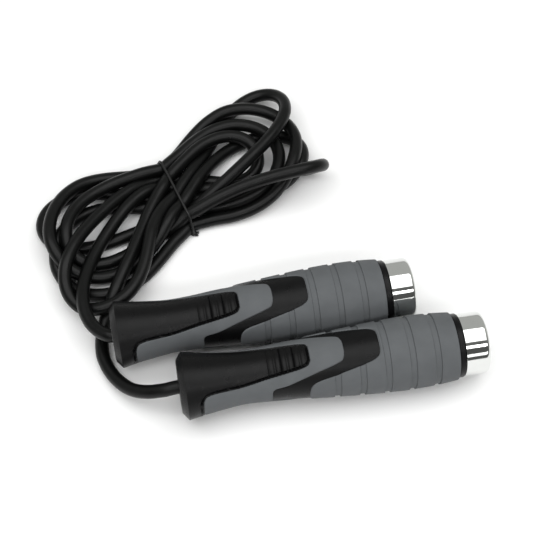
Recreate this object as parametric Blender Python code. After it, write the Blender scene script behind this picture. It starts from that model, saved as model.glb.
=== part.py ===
"""A jump rope at rest: two weighted handles side by side, and their rope tied in a hank behind them.

Each handle turns on its rope on a small ball bearing, and its end cap unscrews to reach a steel weight.
Metres, +Z up. The handles lie along X on the ground, z = 0, and the middle of the two is above the origin.
"""

import math

import bmesh
import bpy
import numpy as np
from mathutils import Matrix, Vector

MM = 0.001
GAP = 0.3 * MM  # left between pieces that touch
SIDES = 24  # of a large turned piece
FEW_SIDES = 16  # of a small one
TUBE_RINGS = 2  # bevel resolution of a round wire or rope

# Where the handles lie. Each one's own frame has its axis along X, from the flange to the cap.
AXIS_HEIGHT = 19.75 * MM
HANDLE_A_FLANGE = (-63.95 * MM, -18.45 * MM)
HANDLE_B_FLANGE = (-94.85 * MM, 18.45 * MM)
TOE_IN = math.radians(0.54)  # each handle's own turn away from X, about the vertical

# The handle's outside: radius against distance from the flange's rim.
GRIP_STATIONS = tuple(
    (x * MM, r * MM)
    for x, r in (
        (0, 18.3),
        (8, 16.85),
        (17.2, 15.6),
        (28.6, 14.45),
        (40, 14.6),
        (54.4, 15.6),
        (68.7, 16.85),
        (86, 18.15),
        (103, 19.25),
        (123, 19.73),
        (136, 19.2),
        (145, 18.35),
    )
)
FLANGE_BEVEL = 3.2 * MM
MOUTH_RADIUS = 14.0 * MM
SKIN = 1.3 * MM  # thickness of the soft overlay and sleeve

OVERLAY_START = 8.0 * MM
OVERLAY_END = 84.3 * MM
SLEEVE_START = 64.0 * MM
SLEEVE_END = 145.0 * MM
GROOVE_COUNT = 5
GROOVE_FIRST = 79.5 * MM
GROOVE_PITCH = 13.4 * MM
GROOVE_WIDTH = 3.2 * MM
GROOVE_DEPTH = 0.7 * MM
GROOVE_MARGIN = 2.0 * MM  # no station of the outside lies nearer to a groove

# Plan outlines of the openings in the soft skins, for the half with y > 0.
PANEL_OUTLINE = (
    (8.0, 17.2),
    (8.4, 15.4),
    (9.8, 13.9),
    (13.5, 12.8),
    (23.0, 11.6),
    (30.0, 10.9),
    (43.0, 9.3),
    (54.0, 8.3),
    (61.5, 7.4),
    (64.8, 6.3),
    (66.1, 4.2),
)
SIDE_OUTLINE = (
    (44.8, 14.4),
    (45.4, 13.8),
    (54.0, 13.2),
    (70.0, 10.4),
    (79.5, 8.3),
    (82.8, 7.0),
    (84.0, 4.6),
)
WINDOW_OUTLINE = (
    (64.1, 17.3),
    (65.0, 15.7),
    (67.4, 14.6),
    (79.0, 13.2),
    (94.0, 10.8),
    (99.6, 9.4),
    (102.2, 7.6),
    (103.0, 5.0),
)
CUT_HALF_HEIGHT = 24 * MM
CUT_HALF_WIDTH = 24 * MM
CUT_PAST_END = 4.0  # in the outlines' millimetres, past a skin's end

# The core's bore, from its mouth in the flange to the cap's thread.
BEARING_BORE = 11.3 * MM
BEARING_SHOULDER = 8.2 * MM
ROPE_CHAMBER = 9.0 * MM
WEIGHT_BORE = 12.8 * MM
WEIGHT_SHOULDER = 62.0 * MM
CORE_END = 148.2 * MM
COLLAR_START = 145.3 * MM
COLLAR_RADIUS = 17.3 * MM
NECK_RADIUS = 15.4 * MM

# A 22 mm bearing, 7 mm wide, on an 8 mm bore.
BEARING_START = 0.9 * MM
BEARING_WIDTH = 7.0 * MM
OUTER_RACE = (9.7 * MM, 11.0 * MM)
INNER_RACE = (4.1 * MM, 5.3 * MM)
BALL_COUNT = 7
BALL_RADIUS = 1.9 * MM
BALL_PITCH_RADIUS = 7.5 * MM
BALL_STATION = BEARING_START + BEARING_WIDTH / 2
TRACK_DEPTH = 0.25 * MM
TRACK_WIDTH = 3.2 * MM
CAGE_RADII = (6.7 * MM, 8.3 * MM)
CAGE_BACK = (6.9 * MM, 7.7 * MM)
CAGE_FINGER = 3.6 * MM
CAGE_SEGMENTS_PER_BALL = 4

CAP_START = 148.6 * MM
CAP_END = 162.0 * MM
CAP_RADIUS = 16.9 * MM
CAP_WALL = 1.5 * MM
CAP_FILLET = 3.0 * MM
CAP_ARC_STEPS = 3
PLUG_RADIUS = 12.4 * MM
PLUG_START = 139.0 * MM
PLUG_WALL = 2.2 * MM
PLUG_FLANGE_HEIGHT = 4 * MM
PAD_START = 136.0 * MM
PAD_GAP = 0.4 * MM
PAD_RADIUS = 11.8 * MM

WEIGHT_START = 66.4 * MM
WEIGHT_END = 135.6 * MM
WEIGHT_RADIUS = 12.3 * MM
WEIGHT_CHAMFER = 1.0 * MM
DAMPER_START = 62.4 * MM
DAMPER_END = 66.0 * MM
SMALL_CHAMFER = 0.4 * MM

RETAINER_START = -3.0 * MM
RETAINER_END = 0.6 * MM
RETAINER_RADII = (4.6 * MM, 11.0 * MM)
WASHER_START = 8.3 * MM
WASHER_END = 9.5 * MM
WASHER_RADII = (4.2 * MM, 8.2 * MM)
FERRULE_START = 9.9 * MM
FERRULE_END = 24.0 * MM
FERRULE_RADIUS = 6.2 * MM
CRIMP_START = 13.4 * MM
CRIMP_END = 18.4 * MM
CRIMP_SHOULDER = 21.0 * MM
CRIMP_DEPTH = 0.7 * MM

ROPE_RADIUS = 3.75 * MM
ROPE_END = 21.5 * MM  # how far each end of the rope reaches into its handle
ROPE_INSIDE = (ROPE_END, 8 * MM, -4 * MM)  # the rope's stations in the handle's own frame

# The rope's two uncoiled stretches, from each handle to the hank.
LEAD_A_ROUTE = tuple(
    Vector(p) * MM
    for p in (
        (-74.6, -18.2, 18.2),
        (-83.6, -15.6, 14.0),
        (-91.8, -10.4, 9.4),
        (-98.7, -1.9, 6.0),
        (-103.4, 8.4, 4.3),
        (-105.3, 18.7, 3.8),
        (-104.6, 28.0, 3.8),
        (-102.4, 34.8, 3.8),
        (-100.9, 40.0, 3.8),
    )
)
LEAD_B_ROUTE = tuple(
    Vector(p) * MM
    for p in (
        (-102.0, 20.6, 18.8),
        (-106.0, 25.0, 17.2),
        (-108.9, 31.6, 15.8),
        (-110.4, 40.0, 14.8),
    )
)
LEAD_STEP = 8 * MM

# The hank lies pinched at its waist by a wire tie.
HANK_HEIGHT = 30 * MM
HANK_OUTLINE = tuple(
    Vector((x * MM, y * MM, 0))
    for x, y in (
        (-58.4, 138.0),
        (-75.0, 139.5),
        (-92.0, 138.5),
        (-107.0, 133.0),
        (-121.0, 123.0),
        (-131.0, 110.0),
        (-134.5, 97.0),
        (-132.0, 83.0),
        (-129.0, 70.0),
        (-126.0, 56.0),
        (-119.0, 46.5),
        (-109.0, 41.5),
        (-97.0, 41.5),
        (-87.0, 44.0),
        (-77.0, 51.5),
        (-67.0, 64.5),
        (-56.0, 78.5),
        (-44.5, 87.0),
        (-30.0, 88.5),
        (-14.0, 90.0),
        (2.0, 93.5),
        (16.0, 98.5),
        (29.0, 102.5),
        (39.0, 108.0),
        (42.5, 117.0),
        (37.0, 130.0),
        (31.0, 146.0),
        (27.5, 163.0),
        (20.0, 176.5),
        (4.0, 181.5),
        (-13.0, 174.0),
        (-29.0, 163.5),
        (-44.0, 150.0),
    )
)
WAIST_TOP = HANK_OUTLINE[0]
WAIST_BOTTOM = HANK_OUTLINE[17]
TIE_RADIUS = 1.0 * MM
TIE_CHANNEL = 2.8 * MM
TIE_CORNER = 2.0 * MM


def grip_radius(x):
    """The handle's outer radius at x, on a smooth curve through its stations."""
    stations = np.array(GRIP_STATIONS)
    slopes = np.gradient(stations[:, 1], stations[:, 0])
    i = int(np.clip(np.searchsorted(stations[:, 0], x) - 1, 0, len(stations) - 2))
    x0, x1 = stations[i : i + 2, 0]
    t = (x - x0) / (x1 - x0)
    curve = (
        (1 + 2 * t) * (1 - t) ** 2 * stations[i, 1]
        + t * (1 - t) ** 2 * (x1 - x0) * slopes[i]
        + t * t * (3 - 2 * t) * stations[i + 1, 1]
        + t * t * (t - 1) * (x1 - x0) * slopes[i + 1]
    )
    return float(curve)


def material(name, colour, roughness, metallic=0.0):
    made = bpy.data.materials.new(name)
    made.use_nodes = True
    shader = made.node_tree.nodes["Principled BSDF"]
    shader.inputs["Base Color"].default_value = (*colour, 1)
    shader.inputs["Roughness"].default_value = roughness
    shader.inputs["Metallic"].default_value = metallic
    return made


def place(name, mesh, look, parent=None, location=(0, 0, 0)):
    """One named object of the model, shaded smooth except at its real edges."""
    piece = bpy.data.objects.new(name, mesh)
    bpy.context.scene.collection.objects.link(piece)
    piece.parent = parent
    piece.location = location
    if not mesh.materials:
        mesh.materials.append(look)
        mesh.shade_smooth()
        mesh.set_sharp_from_angle(angle=math.radians(30))
    return piece


def mesh_of(shape, name):
    bmesh.ops.recalc_face_normals(shape, faces=shape.faces[:])
    mesh = bpy.data.meshes.new(name)
    shape.to_mesh(mesh)
    shape.free()
    return mesh


def turned_shape(profile, sides):
    """The profile of (x, radius) points turned about X. One that stays off the axis closes on itself."""
    shape = bmesh.new()
    points = [shape.verts.new((x, 0, r)) for x, r in profile]
    for a, b in zip(points, points[1:]):
        shape.edges.new((a, b))
    if profile[0][1] > 0:
        shape.edges.new((points[-1], points[0]))
    bmesh.ops.spin(
        shape,
        geom=shape.verts[:] + shape.edges[:],
        cent=(0, 0, 0),
        axis=(1, 0, 0),
        angle=2 * math.pi,
        steps=sides,
        use_merge=True,
    )
    bmesh.ops.remove_doubles(shape, verts=shape.verts[:], dist=1e-6)
    return shape


def turned(name, profile, sides=SIDES):
    return mesh_of(turned_shape(profile, sides), name)


def ring(name, start, end, inner, outer, sides=SIDES):
    return turned(
        name, [(start, inner), (start, outer), (end, outer), (end, inner)], sides
    )


def rod(name, start, end, radius, chamfer):
    return turned(
        name,
        [
            (start, 0),
            (start, radius - chamfer),
            (start + chamfer, radius),
            (end - chamfer, radius),
            (end, radius - chamfer),
            (end, 0),
        ],
    )


def core_mesh():
    """The rigid body of the handle: flared mouth, waist and belly outside, and a stepped bore inside."""
    under = [
        (x, grip_radius(x) - SKIN - GAP)
        for x, _ in GRIP_STATIONS
        if OVERLAY_START < x < SLEEVE_END
    ]
    step = OVERLAY_START - GAP
    profile = [
        (-FLANGE_BEVEL, BEARING_BORE),
        (-FLANGE_BEVEL, MOUTH_RADIUS),
        GRIP_STATIONS[0],
        (step, grip_radius(step)),
        (step, grip_radius(step) - SKIN - GAP),
        *under,
        (SLEEVE_END, grip_radius(SLEEVE_END) - SKIN - GAP),
        (SLEEVE_END, NECK_RADIUS),
        (CORE_END, NECK_RADIUS),
        (CORE_END, WEIGHT_BORE),
        (WEIGHT_SHOULDER, WEIGHT_BORE),
        (WEIGHT_SHOULDER, ROPE_CHAMBER),
        (BEARING_SHOULDER, ROPE_CHAMBER),
        (BEARING_SHOULDER, BEARING_BORE),
    ]
    return turned("core", profile)


def skin_mesh(name, start, end, grooves):
    """A soft shell over the core from start to end, before its windows are cut."""
    stations = sorted(
        {start, end, *(x for x, _ in GRIP_STATIONS if start < x < end)}
    )
    outside = {x: grip_radius(x) for x in stations}
    for k in range(grooves):
        middle = GROOVE_FIRST + k * GROOVE_PITCH
        near, far = middle - GROOVE_WIDTH / 2, middle + GROOVE_WIDTH / 2
        outside = {
            x: r
            for x, r in outside.items()
            if not near - GROOVE_MARGIN < x < far + GROOVE_MARGIN
        }
        slope = GROOVE_DEPTH / 2
        outside[near] = grip_radius(near)
        outside[near + slope] = grip_radius(near) - GROOVE_DEPTH
        outside[far - slope] = grip_radius(far) - GROOVE_DEPTH
        outside[far] = grip_radius(far)
    inside = [(x, grip_radius(x) - SKIN) for x in reversed(stations)]
    return turned(name, sorted(outside.items()) + inside)


def prism_mesh(name, outlines):
    """Upright prisms on plan outlines in millimetres, tall enough to cut right through the handle."""
    shape = bmesh.new()
    for outline in outlines:
        corners = [
            shape.verts.new((x * MM, y * MM, -CUT_HALF_HEIGHT)) for x, y in outline
        ]
        base = shape.faces.new(corners)
        grown = bmesh.ops.extrude_face_region(shape, geom=[base])["geom"]
        moved = [part for part in grown if isinstance(part, bmesh.types.BMVert)]
        bmesh.ops.translate(shape, verts=moved, vec=(0, 0, 2 * CUT_HALF_HEIGHT))
    return mesh_of(shape, name)


def mirrored(outline):
    """The outline of the half with y > 0, and its mirror image, as one closed outline."""
    return list(outline) + [(x, -y) for x, y in reversed(outline)]


def cut(piece, cutter_mesh):
    """The piece loses what is inside the cutter."""
    cutter = bpy.data.objects.new(f"{piece.name}_{cutter_mesh.name}", cutter_mesh)
    bpy.context.scene.collection.objects.link(cutter)
    cutter.parent = piece.parent
    cutter.hide_render = True
    cutter.display_type = "WIRE"
    modifier = piece.modifiers.new(cutter_mesh.name, "BOOLEAN")
    modifier.operation = "DIFFERENCE"
    modifier.object = cutter


def cage_mesh():
    """A crown: a thin ring behind the balls with a finger between each two of them."""
    segments = BALL_COUNT * CAGE_SEGMENTS_PER_BALL
    inner, outer = CAGE_RADII
    near, far = CAGE_BACK
    shape = turned_shape(
        [(near, inner), (near, outer), (far, outer), (far, inner)], segments
    )
    middle_of_gap = math.pi / BALL_COUNT
    turn = middle_of_gap - math.pi / segments
    bmesh.ops.rotate(
        shape, verts=shape.verts[:], matrix=Matrix.Rotation(-turn, 3, "X")
    )
    bmesh.ops.recalc_face_normals(shape, faces=shape.faces[:])
    for k in range(BALL_COUNT):
        angle = middle_of_gap + 2 * math.pi * k / BALL_COUNT
        radius = (inner + outer) / 2
        spot = Vector((near, radius * math.sin(angle), radius * math.cos(angle)))
        face = min(shape.faces, key=lambda f: (f.calc_center_median() - spot).length)
        grown = bmesh.ops.extrude_face_region(shape, geom=[face])["geom"]
        moved = [part for part in grown if isinstance(part, bmesh.types.BMVert)]
        bmesh.ops.delete(shape, geom=[face], context="FACES_ONLY")
        bmesh.ops.translate(shape, verts=moved, vec=(-CAGE_FINGER, 0, 0))
    return mesh_of(shape, "cage")


def race_mesh(name, radii, groove_at):
    """A bearing race with a shallow ball track in the wall at radius groove_at."""
    inner, outer = radii
    depth = TRACK_DEPTH if groove_at == inner else -TRACK_DEPTH
    half_track = TRACK_WIDTH / 2
    near, far = BEARING_START, BEARING_START + BEARING_WIDTH
    track = [
        (BALL_STATION - half_track, groove_at),
        (BALL_STATION, groove_at + depth),
        (BALL_STATION + half_track, groove_at),
    ]
    if groove_at == inner:
        profile = [(near, inner), (near, outer), (far, outer), (far, inner), *track[::-1]]
    else:
        profile = [(near, inner), (near, outer), *track, (far, outer), (far, inner)]
    return turned(name, profile, SIDES if groove_at == inner else FEW_SIDES)


def ball_mesh():
    shape = bmesh.new()
    bmesh.ops.create_icosphere(shape, subdivisions=2, radius=BALL_RADIUS)
    return mesh_of(shape, "ball")


def cap_mesh():
    """The plated end cap: a skirt, a rounded rim and a flat end."""
    outside = [
        (CAP_START, CAP_RADIUS - SMALL_CHAMFER),
        (CAP_START + SMALL_CHAMFER, CAP_RADIUS),
    ]
    for k in range(CAP_ARC_STEPS + 1):
        angle = math.pi / 2 * k / CAP_ARC_STEPS
        outside.append(
            (
                CAP_END - CAP_FILLET * (1 - math.sin(angle)),
                CAP_RADIUS - CAP_FILLET * (1 - math.cos(angle)),
            )
        )
    hollow = CAP_RADIUS - CAP_WALL
    inside = [(CAP_END - 2 * CAP_WALL, hollow - CAP_WALL), (CAP_END - 3 * CAP_WALL, hollow)]
    profile = [
        (CAP_END, 0),
        *reversed(outside),
        (CAP_START, hollow),
        *reversed(inside),
        (CAP_END - 2 * CAP_WALL, 0),
    ]
    return turned("end_cap", profile)


def plug_mesh():
    """The threaded plug inside the cap: a cup with a flange, its spigot in the core's bore."""
    flange = CAP_START + GAP
    back = flange + PLUG_FLANGE_HEIGHT
    hollow = PLUG_RADIUS - PLUG_WALL
    return turned(
        "cap_plug",
        [
            (PLUG_START, 0),
            (PLUG_START, PLUG_RADIUS - SMALL_CHAMFER),
            (PLUG_START + SMALL_CHAMFER, PLUG_RADIUS),
            (flange, PLUG_RADIUS),
            (flange, CAP_RADIUS - CAP_WALL - GAP),
            (back, CAP_RADIUS - CAP_WALL - GAP),
            (back, hollow),
            (PLUG_START + PLUG_WALL, hollow),
            (PLUG_START + PLUG_WALL, 0),
        ],
    )


def ferrule_mesh():
    """The crimped cup that closes the rope's end, behind the washer."""
    bore = ROPE_RADIUS + GAP
    outside = FERRULE_RADIUS
    crimp = outside - CRIMP_DEPTH
    return turned(
        "rope_ferrule",
        [
            (ROPE_END + GAP, 0),
            (ROPE_END + GAP, bore),
            (FERRULE_START, bore),
            (FERRULE_START, outside),
            (CRIMP_START, crimp),
            (CRIMP_END, crimp),
            (CRIMP_SHOULDER, outside),
            (FERRULE_END, outside),
            (FERRULE_END, 0),
        ],
        FEW_SIDES,
    )


def smooth_route(points, step):
    """Points about a step apart on a smooth curve through the route's own points."""
    ends = [2 * points[0] - points[1], *points, 2 * points[-1] - points[-2]]
    route = []
    for before, start, end, after in zip(ends, ends[1:], ends[2:], ends[3:]):
        count = max(1, round((end - start).length / step))
        for k in range(count):
            t = k / count
            route.append(
                start
                + (end - before) * (t / 2)
                + (2 * before - 5 * start + 4 * end - after) * (t * t / 2)
                + (3 * start - before - 3 * end + after) * (t**3 / 2)
            )
    return [*route, points[-1]]


def tube(name, points, radius, look, closed=False):
    """A round wire or rope along the points."""
    line = bpy.data.curves.new(name, "CURVE")
    line.dimensions = "3D"
    line.bevel_depth = radius
    line.bevel_resolution = TUBE_RINGS
    line.use_fill_caps = not closed
    spline = line.splines.new("POLY")
    spline.points.add(len(points) - 1)
    for spot, point in zip(spline.points, points):
        spot.co = (*point, 1)
    spline.use_cyclic_u = closed
    line.materials.append(look)
    made = bpy.data.objects.new(name, line)
    bpy.context.scene.collection.objects.link(made)
    return made


def skin_cutters():
    """The prisms that open the soft skins: for the thumb panel, at both sides and for the window."""
    far = CUT_HALF_WIDTH / MM
    panel_start, window_start = PANEL_OUTLINE[0][0], WINDOW_OUTLINE[0][0]
    end = OVERLAY_END / MM + CUT_PAST_END
    side = [
        *SIDE_OUTLINE,
        (end, SIDE_OUTLINE[-1][1] - CUT_PAST_END / 2),
        (end, far),
        (SIDE_OUTLINE[0][0], far),
    ]
    both_sides = [side, [(x, -y) for x, y in reversed(side)]]
    panel = [(0, far), (panel_start, far), *PANEL_OUTLINE]
    window = [(window_start - CUT_PAST_END, far), (window_start, far), *WINDOW_OUTLINE]
    return {
        "panel": prism_mesh("panel", [mirrored(panel)]),
        "sides": prism_mesh("sides", both_sides),
        "window": prism_mesh("window", [mirrored(window)]),
    }


def handle_frame(name, flange, turn):
    """The empty on a handle's axis, at the flange's rim, that all of the handle's pieces hang on."""
    frame = bpy.data.objects.new(name, None)
    bpy.context.scene.collection.objects.link(frame)
    frame.location = (*flange, AXIS_HEIGHT)
    frame.rotation_euler = (0, 0, turn)
    bpy.context.view_layer.update()
    return frame


def handle_meshes():
    """The meshes that both handles share, by the names of their pieces."""
    return {
        "core": core_mesh(),
        "thumb_overlay": skin_mesh("thumb_overlay", OVERLAY_START, OVERLAY_END, 0),
        "grip_sleeve": skin_mesh("grip_sleeve", SLEEVE_START, SLEEVE_END, GROOVE_COUNT),
        "collar_ring": ring(
            "collar_ring", COLLAR_START, CORE_END, NECK_RADIUS + GAP, COLLAR_RADIUS
        ),
        "end_cap": cap_mesh(),
        "cap_plug": plug_mesh(),
        "cap_pad": rod("cap_pad", PAD_START, PLUG_START - PAD_GAP, PAD_RADIUS, SMALL_CHAMFER),
        "weight": rod("weight", WEIGHT_START, WEIGHT_END, WEIGHT_RADIUS, WEIGHT_CHAMFER),
        "weight_damper": rod(
            "weight_damper", DAMPER_START, DAMPER_END, WEIGHT_RADIUS, SMALL_CHAMFER
        ),
        "bearing_retainer": ring(
            "bearing_retainer", RETAINER_START, RETAINER_END, *RETAINER_RADII
        ),
        "outer_race": race_mesh("outer_race", OUTER_RACE, OUTER_RACE[0]),
        "inner_race": race_mesh("inner_race", INNER_RACE, INNER_RACE[1]),
        "ball_cage": cage_mesh(),
        "rope_washer": ring(
            "rope_washer", WASHER_START, WASHER_END, *WASHER_RADII, FEW_SIDES
        ),
        "rope_ferrule": ferrule_mesh(),
    }


def make_handle(side, frame, meshes, looks, cutters):
    """One handle's pieces, named for its side."""
    pieces = {
        name: place(f"{name}_{side}", mesh, looks[name], frame)
        for name, mesh in meshes.items()
    }
    cut(pieces["thumb_overlay"], cutters["panel"])
    cut(pieces["thumb_overlay"], cutters["sides"])
    cut(pieces["grip_sleeve"], cutters["window"])


def make_balls(side, frame, mesh, look):
    for k in range(BALL_COUNT):
        angle = 2 * math.pi * k / BALL_COUNT
        spot = (
            BALL_STATION,
            BALL_PITCH_RADIUS * math.sin(angle),
            BALL_PITCH_RADIUS * math.cos(angle),
        )
        place(f"ball_{side}_{k + 1}", mesh, look, frame, spot)


def make_lead(name, frame, route, look):
    """The rope from inside a handle, out of its mouth and along its route to the hank."""
    start = [frame.matrix_world @ Vector((x, 0, 0)) for x in ROPE_INSIDE]
    tube(name, [*start[:1], *smooth_route([*start[1:], *route], LEAD_STEP)], ROPE_RADIUS, look)


def make_hank(look):
    """The bundled turns as one upright solid on the bundle's outline, with a channel under its waist."""
    shape = bmesh.new()
    loop = HANK_OUTLINE
    outline = []
    for k, start in enumerate(loop):
        before, end, after = loop[k - 1], loop[(k + 1) % len(loop)], loop[(k + 2) % len(loop)]
        outline.append(start)
        outline.append((start + end) / 2 + (start + end - before - after) / 16)
    base = shape.faces.new([shape.verts.new(point) for point in outline])
    grown = bmesh.ops.extrude_face_region(shape, geom=[base])["geom"]
    moved = [part for part in grown if isinstance(part, bmesh.types.BMVert)]
    bmesh.ops.translate(shape, verts=moved, vec=(0, 0, HANK_HEIGHT))
    return place("rope_hank", mesh_of(shape, "rope_hank"), look)


def make_tie(hank, look):
    """A closed wire loop round the hank's waist, which runs in a channel under the hank."""
    across = (WAIST_TOP - WAIST_BOTTOM).normalized()
    middle = (WAIST_TOP + WAIST_BOTTOM) / 2
    reach = (WAIST_TOP - WAIST_BOTTOM).length / 2 + 2 * GAP + TIE_RADIUS
    low, high = TIE_RADIUS + GAP, HANK_HEIGHT + 2 * GAP + TIE_RADIUS
    corner = TIE_CORNER
    loop = []
    for side, height, first in ((1, low, 270), (1, high, 0), (-1, high, 90), (-1, low, 180)):
        lift = corner if height == low else -corner
        for k in range(3):
            angle = math.radians(first + 45 * k)
            out = side * (reach - corner) + corner * math.cos(angle)
            up = height + lift + corner * math.sin(angle)
            loop.append(middle + across * out + Vector((0, 0, up)))
    tube("twist_tie", loop, TIE_RADIUS, look, closed=True)

    channel = bmesh.new()
    bmesh.ops.create_cube(channel, size=1)
    bmesh.ops.scale(
        channel, verts=channel.verts[:], vec=(3 * reach, 2 * TIE_RADIUS + 4 * GAP, 2 * TIE_CHANNEL)
    )
    cutter = bpy.data.objects.new("tie_channel", mesh_of(channel, "tie_channel"))
    bpy.context.scene.collection.objects.link(cutter)
    cutter.location = middle
    cutter.rotation_euler = (0, 0, math.atan2(across.y, across.x))
    cutter.hide_render = True
    cutter.display_type = "WIRE"
    modifier = hank.modifiers.new("tie_channel", "BOOLEAN")
    modifier.operation = "DIFFERENCE"
    modifier.object = cutter


def main():
    for old in list(bpy.data.objects):
        bpy.data.objects.remove(old)
    black = material("black_plastic", (0.012, 0.012, 0.013), 0.38)
    grip = material("grey_grip", (0.11, 0.125, 0.14), 0.62)
    chrome = material("chrome", (0.78, 0.79, 0.8), 0.08, 1.0)
    steel = material("steel", (0.55, 0.55, 0.56), 0.3, 1.0)
    nylon = material("nylon", (0.75, 0.73, 0.66), 0.5)
    foam = material("foam_rubber", (0.03, 0.03, 0.03), 0.9)
    rope = material("rope_rubber", (0.01, 0.01, 0.011), 0.35)
    wire = material("tie_plastic", (0.015, 0.015, 0.016), 0.45)
    looks = {
        "core": black,
        "thumb_overlay": grip,
        "grip_sleeve": grip,
        "collar_ring": black,
        "end_cap": chrome,
        "cap_plug": nylon,
        "cap_pad": foam,
        "weight": steel,
        "weight_damper": foam,
        "bearing_retainer": black,
        "outer_race": steel,
        "inner_race": steel,
        "ball_cage": nylon,
        "rope_washer": steel,
        "rope_ferrule": steel,
    }
    meshes = handle_meshes()
    cutters = skin_cutters()
    frames = {
        "a": handle_frame("handle_a_axis", HANDLE_A_FLANGE, -TOE_IN),
        "b": handle_frame("handle_b_axis", HANDLE_B_FLANGE, TOE_IN),
    }
    ball = ball_mesh()
    for side, frame in frames.items():
        make_handle(side, frame, meshes, looks, cutters)
        make_balls(side, frame, ball, steel)
    make_lead("rope_lead_a", frames["a"], LEAD_A_ROUTE, rope)
    make_lead("rope_lead_b", frames["b"], LEAD_B_ROUTE, rope)
    make_tie(make_hank(rope), wire)


main()
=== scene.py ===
"""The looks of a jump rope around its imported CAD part: two handles, and their rope in a hank behind them.

Metres, +Z up, in the CAD part's frame: the handles lie along X on the floor, z = 0.
A handle's own frame has its axis along X, from the flange's rim towards the cap, and angle 0 is its top.
"""

import math

import bpy
import numpy as np
from mathutils import Matrix, Vector


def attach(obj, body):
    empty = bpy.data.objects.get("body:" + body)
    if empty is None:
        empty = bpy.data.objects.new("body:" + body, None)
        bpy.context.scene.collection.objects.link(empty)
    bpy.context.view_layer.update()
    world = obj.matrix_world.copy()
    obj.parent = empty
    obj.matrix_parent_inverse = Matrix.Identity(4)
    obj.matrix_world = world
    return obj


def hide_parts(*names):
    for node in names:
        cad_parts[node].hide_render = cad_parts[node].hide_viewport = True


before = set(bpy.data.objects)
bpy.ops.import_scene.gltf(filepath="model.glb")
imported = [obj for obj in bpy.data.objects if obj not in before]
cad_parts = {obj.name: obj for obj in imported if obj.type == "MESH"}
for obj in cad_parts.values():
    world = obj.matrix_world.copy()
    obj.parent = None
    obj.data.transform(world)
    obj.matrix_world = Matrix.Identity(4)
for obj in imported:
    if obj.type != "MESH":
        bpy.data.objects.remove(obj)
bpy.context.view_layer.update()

MM = 0.001

# The camera looks down at the handles from their front.
CAMERA_PLACE = Vector((-79.8, -354.9, 679.2)) * MM
CAMERA_TARGET = Vector((-6.4, 59.1, 0)) * MM
CAMERA_LENS = 94.2
CAMERA_SENSOR = 36.0

# The studio: a white floor, a room that is lighter behind the object, and long softboxes over it, as
# (name, place, size, power).
FLOOR_REACH = 6.0
FLOOR_COLOUR = (0.93, 0.93, 0.93, 1)
ROOM_COLOUR = (0.94, 0.95, 0.92, 1)
ROOM_SWEEP = (-0.75, 0.35)  # where on the sky's Y the change from front to back starts and ends
ROOM_FRONT = 0.10
ROOM_BACK = 0.50
LIGHT_TARGET = (0, 0.03, 0)
SOFTBOXES = (
    ("overhead", (0, 0.0, 1.2), (2.0, 1.05), 15),
    ("front", (0, -0.85, 0.98), (2.0, 0.2), 7.0),
    ("low_front", (0, -1.28, 0.42), (2.0, 0.24), 2.6),
)

# Where the handles lie.
AXIS_HEIGHT = 19.75 * MM
TOE_IN = math.radians(0.54)
HANDLES = {
    "a": ((-63.95 * MM, -18.45 * MM), -TOE_IN),
    "b": ((-94.85 * MM, 18.45 * MM), TOE_IN),
}

# The rope's route, as in the CAD part where it isn't coiled.
ROPE_RADIUS = 3.75 * MM
ROPE_DIAMETER = 2 * ROPE_RADIUS
ROPE_INSIDE = (21.5 * MM, 8.0 * MM, -4.0 * MM)  # its stations in each handle's own frame
LEAD_A_ROUTE = (
    (-74.6, -18.2, 18.2),
    (-83.6, -15.6, 14.0),
    (-91.8, -10.4, 9.4),
    (-98.7, -1.9, 6.0),
    (-103.4, 8.4, 4.3),
    (-105.3, 18.7, 3.8),
    (-104.6, 28.0, 3.8),
    (-102.4, 34.8, 3.8),
    (-100.9, 40.0, 3.8),
)
LEAD_B_ROUTE = (
    (-102.0, 20.6, 18.8),
    (-106.0, 25.0, 17.2),
    (-108.9, 31.6, 15.8),
    (-110.4, 40.0, 14.8),
)

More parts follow.
